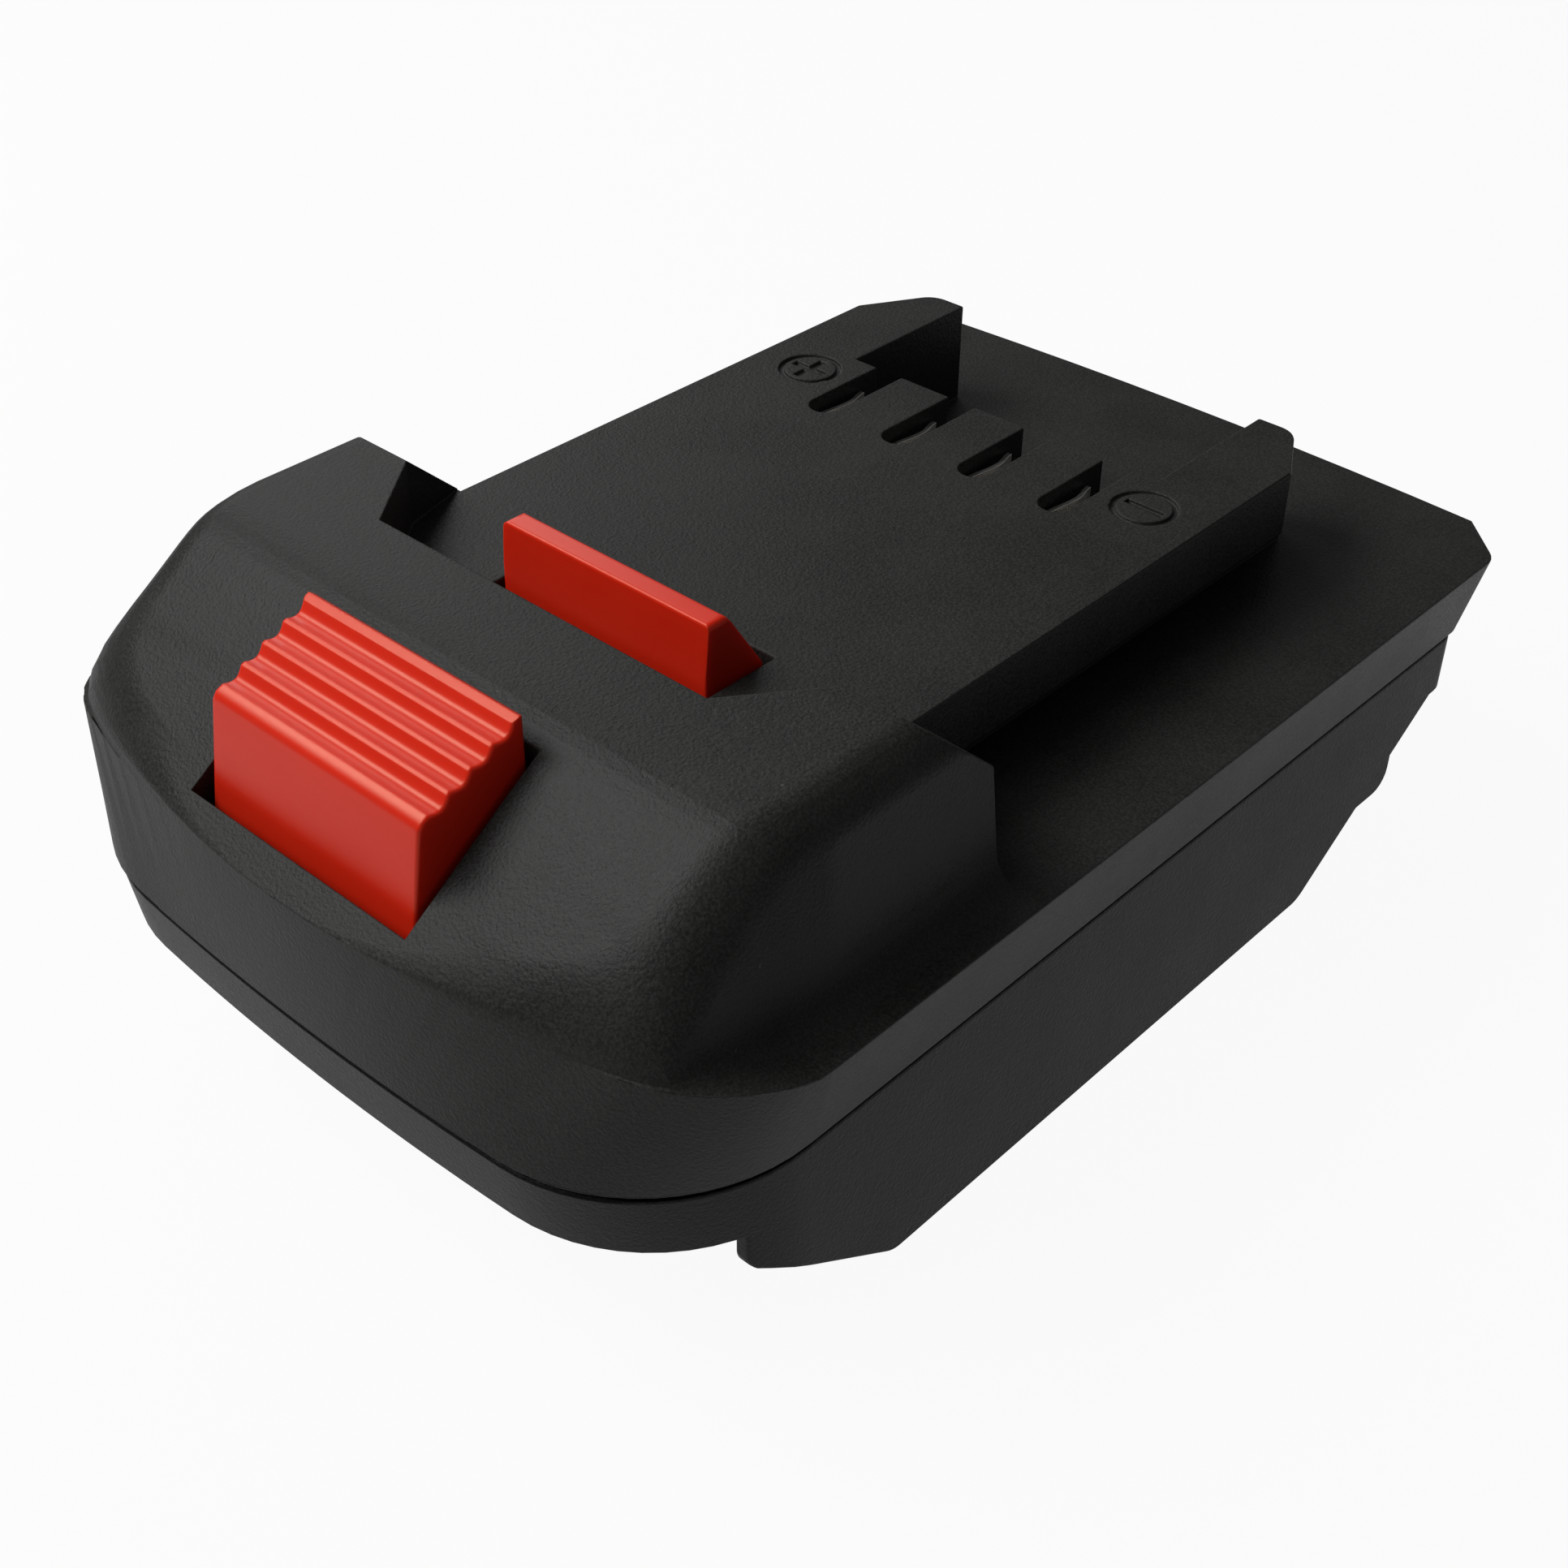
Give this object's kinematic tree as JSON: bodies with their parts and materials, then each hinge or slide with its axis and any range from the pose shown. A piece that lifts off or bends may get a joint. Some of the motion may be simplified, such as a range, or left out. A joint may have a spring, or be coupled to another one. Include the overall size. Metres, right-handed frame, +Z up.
{
  "type": "tool battery adapter",
  "caption": "Slide-on battery adapter with a sprung red release latch, a rail platform with slotted contacts on top and a railed pack channel underneath.",
  "frame": {"origin": "centre of the footprint, on the plane of the skirts' feet", "axes": "+Y along the length towards the contact end, +Z up through the rail platform, +X to the right"},
  "size_m": [0.0766, 0.1132, 0.0461],
  "materials": {
    "housing": "finely textured black moulding",
    "latch": "glossy orange-red moulding",
    "steel": "zinc plated",
    "contact": "nickel plated",
    "board": "green solder mask",
    "resistor": "lacquered beige",
    "block": "dark grey moulding",
    "red_lead": "insulated wire",
    "white_lead": "insulated wire",
    "black_lead": "insulated wire"
  },
  "bodies": {
    "housing": {"upper_housing": "housing", "lower_housing": "housing", "latch_spring_left": "steel", "latch_spring_right": "steel", "positive_terminal": "contact", "signal_terminal_left": "contact", "signal_terminal_right": "contact", "negative_terminal": "contact", "contact_board": "board", "board_screws": "steel", "id_resistor": "resistor", "pack_terminal_block": "block", "positive_blade": "contact", "signal_blade": "contact", "negative_blade": "contact", "block_screws": "steel", "positive_lead": "red_lead", "signal_lead": "white_lead", "negative_lead": "black_lead", "housing_screws": "steel"},
    "latch": {"release_latch": "latch"}
  },
  "joints": [
    {"name": "release_slide", "type": "slide", "parent": "housing", "child": "latch", "axis": [0, 0, 1], "range_m": [-0.0055, 0], "stiffness_N_per_m": 1200, "springref_m": 0.004, "deforming": ["latch_spring_left", "latch_spring_right"]}
  ]
}
